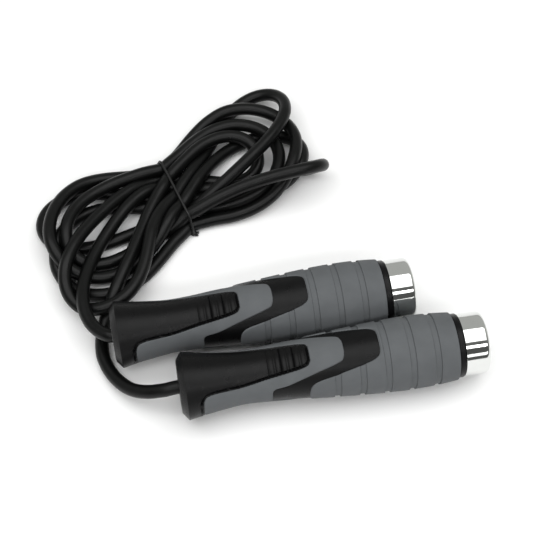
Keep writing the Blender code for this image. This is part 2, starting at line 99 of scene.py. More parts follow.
# The hank. Two layers of strands cross under the tie: seven on the floor, b0 to b6, and five on those.
# A route point is (x, y) in millimetres and how many ropes lie under it.
# Each turn is the slot under the tie that it ends in, and its points up to there.
TIE_TOP = Vector((-57.0, 133.0, 0)) * MM
TIE_BOTTOM = Vector((-46.2, 92.2, 0)) * MM
TIE_ROWS = 6  # spaces between the strands on the floor
UPPER_ROW = 6.5 * MM
LAYER = 7.1 * MM
INTO_HANK = ((-98, 44, 0.6), (-90, 57, 1.3), (-82, 72, 1.5), (-72, 90, 1.3), (-64, 105, 1.1))
OUT_OF_HANK = (
    (-69, 110, 0.6), (-80, 102, 0.8), (-91, 92, 1.0), (-100, 80, 1.4), (-107, 67, 1.8), (-111, 53, 1.9)
)
FIRST_SLOT = "t1"
TURNS = (
    (
        "b1",
        (
            (-50, 127, 1.2), (-43, 134, 1.3), (-26, 145, 1.3), (-8, 145, 1.1), (3, 130, 0.5),
            (-9, 114, 0), (-33, 112, 0),
        ),
    ),
    (
        "t3",
        (
            (-62, 124, 0.4), (-85, 109, 1.1), (-109, 88, 1.5), (-121, 70, 1.5), (-121, 52, 1.0),
            (-104, 40, 1.3), (-84, 51, 1.4), (-69, 72, 1.5), (-57, 96, 1.2),
        ),
    ),
    (
        "b5",
        (
            (-46, 114, 1.0), (-31, 139, 0.3), (-8, 166, 0), (1, 176, 0.1), (10, 181, 0.5),
            (18, 178, 1.0), (23, 168, 1.6), (14, 144, 2.3), (-4, 126, 2.3), (-28, 109, 1.6),
            (-38, 104, 1.1),
        ),
    ),
    (
        "b3",
        (
            (-60, 98, 0), (-84, 92, 0), (-109, 88, 0), (-122, 89, 0), (-131, 93, 0), (-134, 103, 0),
            (-125, 112, 0), (-111, 121, 0), (-94, 125, 0), (-77, 124, 0),
        ),
    ),
    (
        "t4",
        (
            (-38, 104, 0), (-10, 107, 0), (12, 114, 0), (25, 122, 0), (32, 132, 0), (27, 142, 0),
            (13, 146, 0), (-9, 141, 0.1), (-28, 131, 0.6), (-42, 108, 1.2),
        ),
    ),
    (
        "b0",
        (
            (-54, 96, 1.2), (-66, 80, 0.8), (-84, 70, 0.1), (-104, 63, 0.1), (-113, 65, 0.3),
            (-120, 72, 0.8), (-123, 83, 1.7), (-122, 100, 1.8), (-115, 119, 1.3), (-103, 131, 1.0),
            (-76, 136, 0.2),
        ),
    ),
    (
        "b6",
        (
            (-49, 143, 0), (-27, 160, 0.7), (-4, 166, 1.1), (18, 156, 1.0), (27, 135, 1.0),
            (18, 111, 1.1), (6, 102, 0.9), (-7, 98, 0.3), (-35, 95, 0),
        ),
    ),
    (
        "b4",
        (
            (-55, 82, 0), (-77, 60, 0), (-96, 49, 0), (-106, 51, 0), (-118, 66, 0.2), (-121, 79, 0.5),
            (-113, 101, 0.5), (-102, 111, 0.1), (-73, 117, 0),
        ),
    ),
    (
        "t0",
        (
            (-39, 100, 0), (-14, 101, 1.0), (9, 113, 1.4), (13, 138, 1.1), (-2, 155, 1.0),
            (-17, 156, 1.0), (-40, 142, 0.9),
        ),
    ),
    (
        "t5",
        (
            (-71, 126, 1.1), (-96, 119, 1.1), (-108, 107, 1.3), (-120, 84, 0.7), (-116, 76, 0.4),
            (-108, 73, 0.1), (-99, 77, 0), (-77, 86, 0), (-60, 91, 0),
        ),
    ),
    (
        "b2",
        (
            (-25, 103, 1.7), (-9, 106, 2.4), (7, 106, 3.0), (21, 106, 3.3), (33, 108, 3.0),
            (39, 113, 1.7), (34, 118, 0.4), (22, 119, 0), (8, 115, 0.2), (-5, 109, 0.9),
            (-19, 105, 1.0), (-33, 107, 0.4),
        ),
    ),
)
STANDING_TURNS = (2, 10)  # these keep their guides' full heights, clear of what lies below them

# How the rope settles.
ROPE_SPACING = 4 * MM
SETTLE_STEPS = 500
SETTLE_PASSES = 2
SETTLE_PULL = 0.05 * MM  # the fall in each step, until the last steps
LAST_STEPS = 0.9  # of all steps
LAST_PULL = 0.4 * SETTLE_PULL
GUIDE_PULLS = ((0.4, 0.06), (0.75, 0.03), (1.0, 0.012))  # until this progress, this share of the way back
SLOT_PULLS = ((0.85, 1.0), (1.0, 0.5))  # the same, for the points under the tie
HEIGHT_KEPT = 0.4  # how much of the guide's pull acts on heights, off the standing stretches
BEND_SPAN = 6  # spacings
TIGHTEST_BEND = 18 * MM  # what tighter bends are eased towards, a little in each step
BEND_EASE = 4
STIFFNESS_NEAR = 0.5  # against bending over one spacing
STIFFNESS_FAR = 0.12  # against bending over three
SQUEEZE = 0.93  # strands come this near, in diameters, so their tubes overlap a little where they touch
APART = 4  # spacings along the rope before two stretches count as different ones
NEAR = 2.2 * ROPE_DIAMETER  # pairs closer than this are watched, and found again every few steps
NEAR_STEPS = 8
PUSH = 1.3  # of the overlap, in each step
CLEAR_STEPS = 60  # at the end, with no weight and no guide
CLEAR_PUSH = 1.0
CLEAR_SOFTEN = 2  # it softens once in this many steps
CLEAR_SLOT_PULL = 0.3
HANDLE_LIFT = 0.3  # how much of a handle's push goes upwards

# Places in the route, as numbers of its points. The first FIXED_A and the last FIXED_B hold still.
# From FREE_FROM up to lead B the rope keeps clear of the handles.
FIXED_A = 5
FREE_FROM = 7
FIXED_B = 2
CURVE_STEPS = 24

# The tie: one loop of wire, whose ends twist round each other and stick out.
TIE_RADIUS = 0.75 * MM
TIE_STEPS = 96
TIE_START = -30  # degrees
TIE_DRIFT = 1.1 * TIE_RADIUS
TIE_TAIL = 3.5 * MM
TIE_SHORT_TAIL = 0.86 * TIE_TAIL
TWIST_STEPS = 36
TWIST_TURNS = 1.5
TWIST_RADIUS = 1.02 * TIE_RADIUS
TWIST_ALONG = 0.4  # how much the ends lean along the tie and down, against 1 away from it
TWIST_DOWN = 0.2
ROPE_ROUNDNESS = 7
TIE_ROUNDNESS = 3

# The handle's outside, as in the CAD part: radius against distance from the flange's rim.
GRIP_STATIONS = tuple(
    (x * MM, r * MM)
    for x, r in (
        (0, 18.3),
        (8, 16.85),
        (17.2, 15.6),
        (28.6, 14.45),
        (40, 14.6),
        (54.4, 15.6),
        (68.7, 16.85),
        (86, 18.15),
        (103, 19.25),
        (123, 19.73),
        (136, 19.2),
        (145, 18.35),
    )
)
SKIN = 1.3 * MM
GAP = 0.3 * MM
OVERLAY_END = 84.3 * MM
SLEEVE_END = 145.0 * MM
GROOVE_COUNT = 5
GROOVE_FIRST = 79.5 * MM
GROOVE_PITCH = 13.4 * MM
GROOVE_WIDTH = 3.2 * MM
GROOVE_DEPTH = 0.7 * MM
PANEL_OUTLINE = (
    (8.0, 17.2),
    (8.4, 15.4),
    (9.8, 13.9),
    (13.5, 12.8),
    (23.0, 11.6),
    (30.0, 10.9),
    (43.0, 9.3),
    (54.0, 8.3),
    (61.5, 7.4),
    (64.8, 6.3),
    (66.1, 4.2),
)
SIDE_OUTLINE = (
    (44.8, 14.4),
    (45.4, 13.8),
    (54.0, 13.2),
    (70.0, 10.4),
    (79.5, 8.3),
    (82.8, 7.0),
    (84.0, 4.6),
)
WINDOW_OUTLINE = (
    (64.1, 17.3),
    (65.0, 15.7),
    (67.4, 14.6),
    (79.0, 13.2),
    (94.0, 10.8),
    (99.6, 9.4),
    (102.2, 7.6),
    (103.0, 5.0),
)
OVERLAY_START = 6.0 * MM
SLEEVE_START = 62.0 * MM
SIDE_TIP = 2.6 * MM  # how far from the handle's top the side opening's line ends
OUTLINE_STEP = 0.6 * MM
FAR = 60 * MM  # past every line on the handle
FLANGE_FACE = -3.2 * MM
MOUTH_RADIUS = 14.0 * MM
BEARING_BORE = 11.3 * MM
BEARING_SHOULDER = 8.2 * MM
ROPE_CHAMBER = 9.0 * MM
WEIGHT_BORE = 12.8 * MM
WEIGHT_SHOULDER = 62.0 * MM
CORE_END = 148.2 * MM
NECK_RADIUS = 15.4 * MM
COLLAR_START = 145.3 * MM
COLLAR_RADIUS = 17.3 * MM
CAP_START = 148.6 * MM
CAP_END = 162.0 * MM
CAP_RADIUS = 16.9 * MM
CAP_WALL = 1.5 * MM
CAP_FILLET = 3.0 * MM
PLUG_START = 139.0 * MM
PLUG_RADIUS = 12.4 * MM
DAMPER_START = 62.4 * MM
DAMPER_END = 66.0 * MM
DAMPER_RADIUS = 12.3 * MM
PAD_START = 136.0 * MM
PAD_END = 138.6 * MM
PAD_RADIUS = 11.8 * MM

# Surface detail of the visual pieces.
CELL = 0.4 * MM  # between rows of points along the handle
SIDES = 288  # points round it
EDGE_ROUND = 0.5 * MM
OPEN_DROP = 0.5 * MM  # how far the bare core lies under the skins' face
LIP_WIDTH = 0.8 * MM
LIP_DROP = 0.12 * MM
TRENCH_WIDTH = 0.7 * MM
TRENCH_DEPTH = 1.0 * MM
RIB_START = 44.0 * MM
RIB_PITCH = 3.4 * MM
RIB_DEPTH = 0.9 * MM
RIB_SHARPNESS = 0.6
RIB_FADE = 0.5 * MM
TRENCH_EDGE = 0.1 * MM
TRENCH_FOOT = 0.15 * MM
COVER_FROM, COVER_TO = -0.05 * MM, 0.2 * MM
SKIN_SLOPE = 3.5  # how steeply a skin's edge goes down into the core
GROOVE_EDGE = 0.15 * MM
STATION_GAP = 0.3 * MM
PROBE = 0.02 * MM  # the step that measures a slope
SHARP_ANGLE = math.radians(38)
HAIR = 0.01 * MM  # stands for a radius or a step of nothing

# Details of the turned pieces.
TURNED_SIDES = 96
ARC_ROOM = 2.2  # how many arcs there must be room for in each side of a corner
BORE_ROUND = 0.5 * MM
EDGE_BREAK = 0.35 * MM
SMALL_ROUND = 0.3 * MM
CAP_SKIRT = 2.0 * MM
CROWN_STEPS = 12
THREAD_PITCH = 1.5 * MM
THREAD_DEPTH = 0.35 * MM
THREAD_STATIONS = 60
THREAD_SHAPE = 1.5
THREAD_START = 0.6 * MM
THREAD_END = 1.2 * MM
PLUG_LEAD = 0.9 * MM
PLUG_NECK = 1.0 * MM
PLUG_HEAD = 4.0 * MM
RETAINER_END = 0.6 * MM
RETAINER_RECESS = 0.2 * MM
RETAINER_BORE = 4.6 * MM
RETAINER_RADIUS = 11.0 * MM
RETAINER_DISH = ((0.9 * MM, RETAINER_BORE), (0.4 * MM, 7.0 * MM), (0, 8.0 * MM))  # (depth, radius)
FOAM_DISH = 0.35 * MM
FOAM_FLAT = 0.75  # of the radius
FOAM_SLOPE = 1.2 * MM

# Sizes of the finishes' slow changes, and the part of the noise that they use.
MOTTLE_SIZE = 9 * MM
WEAR_SIZE = 5 * MM
NOISE_LOW, NOISE_HIGH = 0.3, 0.7


# ---------------------------------------------------------------- camera, floor and light


def make_camera():
    camera = bpy.data.objects.new("camera", bpy.data.cameras.new("camera"))
    bpy.context.scene.collection.objects.link(camera)
    camera.location = CAMERA_PLACE
    camera.rotation_euler = (CAMERA_TARGET - CAMERA_PLACE).to_track_quat("-Z", "Y").to_euler()
    camera.data.lens = CAMERA_LENS
    camera.data.sensor_width = CAMERA_SENSOR
    bpy.context.scene.camera = camera


def make_light(name, place, size, power):
    light = bpy.data.objects.new(name, bpy.data.lights.new(name, "AREA"))
    bpy.context.scene.collection.objects.link(light)
    light.data.shape = "RECTANGLE"
    light.data.size, light.data.size_y = size
    light.data.energy = power
    light.location = place
    light.rotation_euler = (Vector(LIGHT_TARGET) - Vector(place)).to_track_quat("-Z", "Y").to_euler()


def make_studio():
    """A white floor under large soft lights."""
    bpy.context.scene.view_settings.view_transform = "Standard"
    floor_mesh = bpy.data.meshes.new("floor")
    corners = ((-1, -1), (1, -1), (1, 1), (-1, 1))
    floor_mesh.from_pydata([(x * FLOOR_REACH, y * FLOOR_REACH, 0) for x, y in corners], [], [(0, 1, 2, 3)])
    floor = bpy.data.objects.new("floor", floor_mesh)
    bpy.context.scene.collection.objects.link(floor)
    white = bpy.data.materials.new("floor_white")
    white.use_nodes = True
    shader = white.node_tree.nodes["Principled BSDF"]
    shader.inputs["Base Color"].default_value = FLOOR_COLOUR
    shader.inputs["Roughness"].default_value = 0.9
    shader.inputs["Specular IOR Level"].default_value = 0.1
    floor_mesh.materials.append(white)

    world = bpy.data.worlds.new("studio")
    bpy.context.scene.world = world
    world.use_nodes = True
    nodes, links = world.node_tree.nodes, world.node_tree.links
    sky = nodes.new("ShaderNodeTexCoord")
    axes = nodes.new("ShaderNodeSeparateXYZ")
    links.new(sky.outputs["Generated"], axes.inputs["Vector"])
    sweep = nodes.new("ShaderNodeMapRange")
    sweep.interpolation_type = "SMOOTHSTEP"
    sweep.inputs["From Min"].default_value = ROOM_SWEEP[0]
    sweep.inputs["From Max"].default_value = ROOM_SWEEP[1]
    sweep.inputs["To Min"].default_value = ROOM_FRONT
    sweep.inputs["To Max"].default_value = ROOM_BACK
    links.new(axes.outputs["Y"], sweep.inputs["Value"])
    background = nodes["Background"]
    background.inputs["Color"].default_value = ROOM_COLOUR
    links.new(sweep.outputs["Result"], background.inputs["Strength"])
    for name, place, size, power in SOFTBOXES:
        make_light(name, place, size, power)


# ---------------------------------------------------------------- the rope


def smooth_curve(points, step):
    """Evenly spaced points on a smooth curve through the given ones, and where each given one lies."""
    points = np.asarray(points, float)
    ends = np.vstack([2 * points[0] - points[1], points, 2 * points[-1] - points[-2]])
    fine, knots, share = [], [], np.linspace(0, 1, CURVE_STEPS, endpoint=False)[:, None]
    for i in range(len(points) - 1):
        p0, p1, p2, p3 = ends[i : i + 4]
        t0 = 0.0
        t1 = t0 + np.linalg.norm(p1 - p0) ** 0.5
        t2 = t1 + np.linalg.norm(p2 - p1) ** 0.5
        t3 = t2 + np.linalg.norm(p3 - p2) ** 0.5
        t = t1 + (t2 - t1) * share
        a1 = ((t1 - t) * p0 + (t - t0) * p1) / (t1 - t0)
        a2 = ((t2 - t) * p1 + (t - t1) * p2) / (t2 - t1)
        a3 = ((t3 - t) * p2 + (t - t2) * p3) / (t3 - t2)
        b1 = ((t2 - t) * a1 + (t - t0) * a2) / (t2 - t0)
        b2 = ((t3 - t) * a2 + (t - t1) * a3) / (t3 - t1)
        knots.append(len(share) * i)
        fine.append(((t2 - t) * b1 + (t - t1) * b2) / (t2 - t1))
    knots.append(len(share) * (len(points) - 1))
    fine = np.vstack([*fine, points[-1:]])
    run = np.r_[0, np.cumsum(np.linalg.norm(np.diff(fine, axis=0), axis=1))]
    count = round(run[-1] / step)
    even = np.linspace(0, run[-1], count + 1)
    curve = np.stack([np.interp(even, run, fine[:, k]) for k in range(3)], axis=1)
    return curve, run[knots] / run[-1] * count


def tie_slot(name):
    """The middle of a strand where it passes under the tie."""
    upper = name[0] == "t"
    share = (int(name[1:]) + (0.5 if upper else 0)) / TIE_ROWS
    spot = TIE_TOP.lerp(TIE_BOTTOM, share)
    spot.z = ROPE_RADIUS + (UPPER_ROW if upper else 0)
    return spot


def hank_points(points):
    return [(x * MM, y * MM, ROPE_RADIUS + layer * LAYER) for x, y, layer in points]


def hank_route():
    """The rope's route between the handles, the places of the slots in it, and its standing stretches."""
    route = [*(np.array(LEAD_A_ROUTE) * MM), *hank_points(INTO_HANK)]
    slots = [len(route)]
    route.append(tie_slot(FIRST_SLOT))
    for slot, points in TURNS:
        route += hank_points(points)
        slots.append(len(route))
        route.append(tie_slot(slot))
    route += hank_points(OUT_OF_HANK)
    route += list(np.array(LEAD_B_ROUTE[::-1]) * MM)
    standing = [(slots[k], slots[k + 1]) for k in STANDING_TURNS]
    return np.array([tuple(p) for p in route]), slots, standing


def push_apart(rope, pairs, least, share):
    """Moves both points of each pair that is closer than least, by the mean of their pushes."""
    near, far = pairs
    gap = rope[far] - rope[near]
    length = np.linalg.norm(gap, axis=1)
    hit = length < least
    near, far = near[hit], far[hit]
    push = gap[hit] * ((least - length[hit]) / 2 / length[hit])[:, None]
    total, count = np.zeros_like(rope), np.zeros(len(rope))
    np.add.at(total, near, -push)
    np.add.at(total, far, push)
    np.add.at(count, near, 1)
    np.add.at(count, far, 1)
    return rope + share * total / np.maximum(count, 1)[:, None]


def keep_spacing(rope, spacing):
    """Each two neighbours move to their spacing, even and odd pairs in turn."""
    for first in (0, 1, 0, 1):
        start, end = rope[first:-1:2], rope[first + 1 :: 2]
        gap = end - start
        length = np.linalg.norm(gap, axis=1, keepdims=True)
        move = gap * (0.5 * (length - spacing) / length)
        rope[first:-1:2] += move
        rope[first + 1 :: 2] -= move


def keep_bend(rope, chord):
    """Two points a bend's span apart stay at least a chord apart, so that no bend is too tight."""
    gap = rope[BEND_SPAN:] - rope[:-BEND_SPAN]
    length = np.linalg.norm(gap, axis=1, keepdims=True)
    move = gap / length * np.maximum(chord - length, 0) / BEND_EASE
    rope[:-BEND_SPAN] -= move
    rope[BEND_SPAN:] += move


def soften(rope):
    """Evens out the bending over single spacings and, less, over three."""
    lap = np.zeros_like(rope)
    lap[1:-1] = (rope[:-2] + rope[2:]) / 2 - rope[1:-1]
    second = np.zeros_like(rope)
    second[1:-1] = (lap[:-2] + lap[2:]) / 2 - lap[1:-1]
    rope -= STIFFNESS_NEAR * second
    wide = np.zeros_like(rope)
    wide[6:-6] = rope[6:-6] - (4 * (rope[3:-9] + rope[9:-3]) - rope[:-12] - rope[12:]) / 6
    rope -= STIFFNESS_FAR * wide


def clear_handles(rope, free):
    """Free points inside a handle's largest radius move out beside it."""
    reach = max(r for _, r in GRIP_STATIONS) + ROPE_RADIUS
    for (x, y), turn in HANDLES.values():
        offset = rope[:, :2] - (x, y)
        along = offset[:, 0] * math.cos(turn) + offset[:, 1] * math.sin(turn)
        across = -offset[:, 0] * math.sin(turn) + offset[:, 1] * math.cos(turn)
        up = rope[:, 2] - AXIS_HEIGHT
        radius = np.maximum(np.hypot(across, up), HAIR)
        inside = free & (along > -ROPE_RADIUS) & (along < CAP_START) & (radius < reach)
        out = (reach - radius[inside]) / radius[inside]
        rope[inside, 1] += across[inside] * out
        rope[inside, 2] += HANDLE_LIFT * up[inside] * out


def settled_rope():
    """The rope's points after it settles on the floor and on itself, and its slots' points.

    The guides hold it up where they pull harder than its weight.
    """
    route, slots, standing = hank_route()
    rope, where = smooth_curve(route, ROPE_SPACING)
    slots = [round(where[k]) for k in slots]
    for slot, name in zip(slots, [FIRST_SLOT, *(name for name, _ in TURNS)]):
        rope[slot] = tie_slot(name)
    guide = rope.copy()
    index = np.arange(len(rope))
    lead_b = len(route) - len(LEAD_B_ROUTE)
    fixed = (index < where[FIXED_A]) | (index >= where[-FIXED_B])
    free = (index >= where[FREE_FROM]) & (index < where[lead_b])
    lift = np.full(len(rope), HEIGHT_KEPT)
    for start, end in standing:
        lift[(index >= where[start]) & (index < where[end])] = 1.0
    span = BEND_SPAN * ROPE_SPACING
    chord = 2 * TIGHTEST_BEND * math.sin(span / 2 / TIGHTEST_BEND)
    every_pair = np.triu_indices(len(rope), k=APART)
    least = SQUEEZE * ROPE_DIAMETER

    for step in range(SETTLE_STEPS):
        progress = step / SETTLE_STEPS
        if step % NEAR_STEPS == 0:
            gap = np.linalg.norm(rope[every_pair[1]] - rope[every_pair[0]], axis=1)
            near = gap < NEAR
            pairs = every_pair[0][near], every_pair[1][near]
        pull = next(share for end, share in GUIDE_PULLS if progress < end)
        held = next(share for end, share in SLOT_PULLS if progress < end)
        rope[:, 2] -= SETTLE_PULL if progress < LAST_STEPS else LAST_PULL
        rope[:, :2] += pull * (guide - rope)[:, :2]
        rope[:, 2] += pull * lift * (guide - rope)[:, 2]
        for _ in range(SETTLE_PASSES):
            soften(rope)
            keep_bend(rope, chord)
            keep_spacing(rope, ROPE_SPACING)
            rope = push_apart(rope, pairs, least, PUSH)
            clear_handles(rope, free)
            rope[:, 2] = np.maximum(rope[:, 2], ROPE_RADIUS)
            rope[fixed] = guide[fixed]
            rope[slots] += held * (guide[slots] - rope[slots])
    for step in range(CLEAR_STEPS):
        rope = push_apart(rope, pairs, least, CLEAR_PUSH)
        if step % CLEAR_SOFTEN == 0:
            soften(rope)
        rope[:, 2] = np.maximum(rope[:, 2], ROPE_RADIUS)
        rope[slots] += CLEAR_SLOT_PULL * (guide[slots] - rope[slots])
        rope[fixed] = guide[fixed]
    return rope, slots


def handle_frame(side):
    (x, y), turn = HANDLES[side]
    return Matrix.Translation((x, y, AXIS_HEIGHT)) @ Matrix.Rotation(turn, 4, "Z")


def tube(name, points, radius, roundness):
    """A round wire or rope along the points, as a mesh."""
    line = bpy.data.curves.new(name, "CURVE")
    line.dimensions = "3D"
    line.bevel_depth = radius
    line.bevel_resolution = roundness
    line.use_fill_caps = True
    spline = line.splines.new("POLY")
    spline.points.add(len(points) - 1)
    for spot, point in zip(spline.points, points):
        spot.co = (*point, 1)
    guide = bpy.data.objects.new(name + "_line", line)
    bpy.context.scene.collection.objects.link(guide)
    graph = bpy.context.evaluated_depsgraph_get()
    mesh = bpy.data.meshes.new_from_object(guide.evaluated_get(graph))
    mesh.shade_smooth()
    bpy.data.objects.remove(guide)
    made = bpy.data.objects.new(name, mesh)
    bpy.context.scene.collection.objects.link(made)
    return made


def tie_points(rope, slots):
    """The tie's wire: one end's twist, round the strands, and back along the other end's twist."""
    along = (TIE_BOTTOM - TIE_TOP).normalized()
    side = Vector((0, 0, 1)).cross(along)
    strands = [Vector(rope[k]) for k in slots]
    spots = [((s - TIE_TOP).dot(along), s.z) for s in strands]
    reach = ROPE_RADIUS + TIE_RADIUS
    loop = []
    for k in range(TIE_STEPS + 1):
        angle = math.radians(TIE_START + 360 * k / TIE_STEPS)
        out, up = math.cos(angle), math.sin(angle)
        u, z = max(spots, key=lambda spot: spot[0] * out + spot[1] * up)
        height = max(z + reach * up, TIE_RADIUS)
        drift = side * (TIE_DRIFT * (1 - 2 * k / TIE_STEPS))
        loop.append(TIE_TOP + along * (u + reach * out) + Vector((0, 0, height)) + drift)
    start = (loop[0] + loop[-1]) / 2
    axis = (along * TWIST_ALONG + side - Vector((0, 0, TWIST_DOWN))).normalized()
    lean = axis.cross(Vector((0, 0, 1))).normalized()
    rise = lean.cross(axis)
    first, second = [], []
    for k in range(1, TWIST_STEPS + 1):
        share = k / TWIST_STEPS
        turn = 2 * math.pi * TWIST_TURNS * share
        ring = TWIST_RADIUS * (lean * math.cos(turn) + rise * math.sin(turn))
        first.append(start + axis * (TIE_TAIL * share) + ring)
        second.append(start + axis * (TIE_SHORT_TAIL * share) - ring)
    return [Vector((p.x, p.y, max(p.z, TIE_RADIUS))) for p in (*first[::-1], *loop, *second)]


def make_rope():
    settled, slots = settled_rope()
    inside_a = [tuple(handle_frame("a") @ Vector((x, 0, 0))) for x in ROPE_INSIDE]
    inside_b = [tuple(handle_frame("b") @ Vector((x, 0, 0))) for x in ROPE_INSIDE[::-1]]
    points, _ = smooth_curve([*inside_a, *settled, *inside_b], ROPE_SPACING / 2)
    rope = tube("rope", points, ROPE_RADIUS, ROPE_ROUNDNESS)
    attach(rope, "rope")
    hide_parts("rope_lead_a", "rope_lead_b", "rope_hank")

    tie = tube("tie_wire", tie_points(settled, slots), TIE_RADIUS, TIE_ROUNDNESS)
    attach(tie, "rope")
    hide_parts("twist_tie")

    return rope, tie


# ---------------------------------------------------------------- the handles


def grip_radius(x):
    """The handle's outer radius at x, on a smooth curve through its stations."""
    stations = np.array(GRIP_STATIONS)
    slopes = np.gradient(stations[:, 1], stations[:, 0])
    i = np.clip(np.searchsorted(stations[:, 0], x) - 1, 0, len(stations) - 2)
    x0, x1 = stations[i, 0], stations[i + 1, 0]
    t = (x - x0) / (x1 - x0)
    return (
        (1 + 2 * t) * (1 - t) ** 2 * stations[i, 1]
        + t * (1 - t) ** 2 * (x1 - x0) * slopes[i]
        + t * t * (3 - 2 * t) * stations[i + 1, 1]
        + t * t * (t - 1) * (x1 - x0) * slopes[i + 1]
    )


def ramp(start, end, value):
    t = np.clip((value - start) / (end - start), 0, 1)
    return t * t * (3 - 2 * t)


def unrolled(outline):
    """A plan outline in millimetres as a smooth line of (distance along, arc length from the top)."""
    line, _ = smooth_curve([(x * MM, y * MM, 0) for x, y in outline], OUTLINE_STEP)
    radius = grip_radius(line[:, 0])
    return [(x, r * math.asin(min(y / r, 1))) for (x, y, _), r in zip(line, radius)]


def opening(outline):
    """The loop round everything on an outline's near side, from the flange to the outline's tip."""
    first, last = outline[0][0] * MM, outline[-1][0] * MM
    return [(-FAR, -FAR), (-FAR, FAR), (first, FAR), *unrolled(outline), (last, -FAR)]


PANEL_LOOP = opening(PANEL_OUTLINE)
WINDOW_LOOP = opening(WINDOW_OUTLINE)
SIDE_LOOP = [
    (SIDE_OUTLINE[0][0] * MM, FAR),
    *unrolled(SIDE_OUTLINE),
    (OVERLAY_END, SIDE_TIP),
    (OVERLAY_END, -FAR),
    (4 * FAR, -FAR),
    (4 * FAR, FAR),
]


def depth_in(loop, x, arc):
    """How far each place lies inside the closed loop. It is negative outside."""
    best = np.full(x.shape, np.inf)
    inside = np.zeros(x.shape, bool)
    for (x0, y0), (x1, y1) in zip(loop, [*loop[1:], loop[0]]):
        run, rise = x1 - x0, y1 - y0
        t = np.clip(((x - x0) * run + (arc - y0) * rise) / (run**2 + rise**2), 0, 1)
        best = np.minimum(best, np.hypot(x - x0 - t * run, arc - y0 - t * rise))
        if rise:
            inside ^= ((y0 > arc) != (y1 > arc)) & (x < x0 + (arc - y0) * run / rise)
    return np.where(inside, best, -best)


class Surface:
    """Places (x, angle) on the handle's outside, and how deep each lies in each opening."""

    def __init__(self, x):
        angle = np.linspace(-math.pi, math.pi, SIDES, endpoint=False)
        self.x, self.angle = (np.array(g) for g in np.broadcast_arrays(x[:, None], angle))
        self.measure()

    def arc(self, x, angle):
        up_or_down = np.minimum(np.abs(angle), math.pi - np.abs(angle))
        return grip_radius(x) * up_or_down

    def measure(self):
        arc = self.arc(self.x, self.angle)
        self.panel = depth_in(PANEL_LOOP, self.x, arc)
        self.side = depth_in(SIDE_LOOP, self.x, arc)
        self.window = depth_in(WINDOW_LOOP, self.x, arc)

    def snap(self, loop, level):
        """Grid points within half a cell of the line at this depth in the loop move onto it."""
        arc = self.arc(self.x, self.angle)
        depth = depth_in(loop, self.x, arc)
        slope_x = (depth_in(loop, self.x + PROBE, arc) - depth) / PROBE
        slope_arc = (depth_in(loop, self.x, arc + PROBE) - depth) / PROBE
        off = level - depth
        near = np.abs(off) < CELL / 2
        rising = np.where(np.abs(self.angle) < math.pi / 2, 1.0, -1.0) * np.sign(self.angle)
        self.x = np.where(near, self.x + off * slope_x, self.x)
        turn = off * slope_arc * rising / grip_radius(self.x)
        self.angle = np.where(near, self.angle + turn, self.angle)
        self.measure()

    @property
    def overlay(self):
        return np.minimum(-self.panel, -self.side)

    @property
    def sleeve(self):
        return np.minimum(-self.window, SLEEVE_END - self.x)


def edge_drop(depth):
    """How far a skin's face drops towards its edge: a rounded edge, and then down into the core."""
    t = np.clip(1 - depth / EDGE_ROUND, 0, 1)
    return EDGE_ROUND * (1 - np.sqrt(1 - t * t)) + SKIN_SLOPE * np.maximum(-depth, 0)


def groove_drop(x):
    drop = np.zeros_like(x)
    for k in range(GROOVE_COUNT):
        off = np.abs(x - GROOVE_FIRST - k * GROOVE_PITCH)
        drop += GROOVE_DEPTH * ramp(GROOVE_WIDTH / 2 + GROOVE_EDGE, GROOVE_WIDTH / 2 - GROOVE_EDGE, off)
    return drop


def core_drop(surface):
    """How far the core's face lies under the handle's outline.

    It covers the thumb panel with its lip, trench and ribs, the bare stretches between the skins, and the
    face under the skins.
    """
    inner = LIP_WIDTH + TRENCH_WIDTH
    trench = ramp(LIP_WIDTH - TRENCH_EDGE, LIP_WIDTH + TRENCH_EDGE, surface.panel)
    trench -= ramp(inner - TRENCH_EDGE, inner + TRENCH_FOOT, surface.panel)
    lip = LIP_DROP * ramp(inner, LIP_WIDTH, surface.panel)
    phase = np.mod((surface.x - RIB_START) / RIB_PITCH, 1)
    ribs = RIB_DEPTH * (1 - np.sin(math.pi * phase) ** RIB_SHARPNESS)
    ribs *= ramp(inner, inner + RIB_FADE, surface.panel)
    ribs *= ramp(RIB_START - RIB_PITCH / 2, RIB_START + RIB_PITCH / 2, surface.x)
    bare = np.where(surface.panel > 0, lip + TRENCH_DEPTH * trench + ribs, OPEN_DROP)
    covered = ramp(COVER_FROM, COVER_TO, np.maximum(surface.overlay, surface.sleeve))
    return bare + (SKIN + GAP - bare) * covered


def ring_mesh(name, x, radius, angle, closed=False, keep=None):
    """A mesh of rows of points round X, one point to an angle. keep says which points' faces stay."""
    rows, sides = x.shape
    points = np.stack([x, radius * np.sin(angle), radius * np.cos(angle)], axis=-1).reshape(-1, 3)
    row = np.arange(rows if closed else rows - 1)[:, None]
    column = np.arange(sides)[None, :]
    next_row, next_column = (row + 1) % rows, (column + 1) % sides
    corners = [
        row * sides + column,
        row * sides + next_column,
        next_row * sides + next_column,
        next_row * sides + column,
    ]
    faces = np.stack(np.broadcast_arrays(*corners), axis=-1).reshape(-1, 4)
    if keep is not None:
        faces = faces[keep.reshape(-1)[faces].any(axis=1)]
        used, faces = np.unique(faces, return_inverse=True)
        points, faces = points[used], faces.reshape(-1, 4)
    mesh = bpy.data.meshes.new(name)
    mesh.from_pydata(points.tolist(), [], faces.tolist())
    mesh.shade_smooth()
    mesh.set_sharp_from_angle(angle=SHARP_ANGLE)
    return mesh


